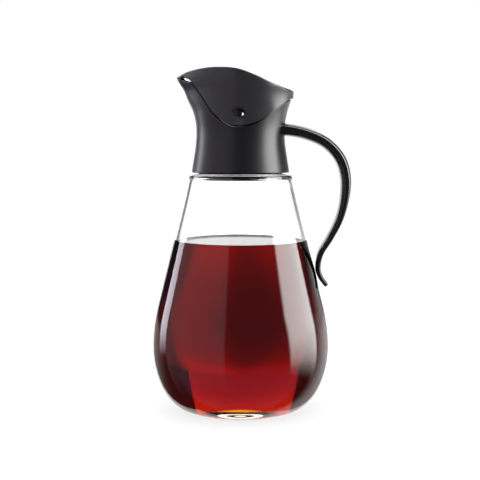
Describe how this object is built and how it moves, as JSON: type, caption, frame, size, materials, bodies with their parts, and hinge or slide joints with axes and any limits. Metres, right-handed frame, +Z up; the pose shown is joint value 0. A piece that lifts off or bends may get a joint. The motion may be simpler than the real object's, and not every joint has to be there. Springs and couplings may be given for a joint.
{
  "type": "syrup dispenser",
  "caption": "Pear-shaped clear glass jar of dark syrup with a flared black collar and spout, a rocking lid on side pins and a curved open handle",
  "frame": {"origin": "the middle of the flat foot of the jar, on the surface it stands on", "axes": "+Z up along the jar's axis, +X towards the handle and -X towards the spout; the lid's hinge runs along Y"},
  "size_m": [0.1166, 0.1038, 0.1978],
  "materials": {
    "clear_glass": "smooth clear pressed glass, heavy at the base",
    "syrup": "clear dark red-brown syrup with a wet surface",
    "satin_black_plastic": "moulded plastic with a fine satin texture",
    "gloss_black_plastic": "moulded plastic, smoother than the collar"
  },
  "bodies": {
    "jug": {"glass_jar": "clear_glass", "syrup": "syrup", "collar": "satin_black_plastic", "pin_near": "gloss_black_plastic", "pin_far": "gloss_black_plastic", "handle": "gloss_black_plastic"},
    "lid": {"lid": "satin_black_plastic"}
  },
  "joints": [
    {"name": "lid_rock", "type": "hinge", "parent": "jug", "child": "lid", "pos_m": [-0.001, 0, 0.1722], "axis": [0, 1, 0], "range_deg": [0, 8]}
  ]
}
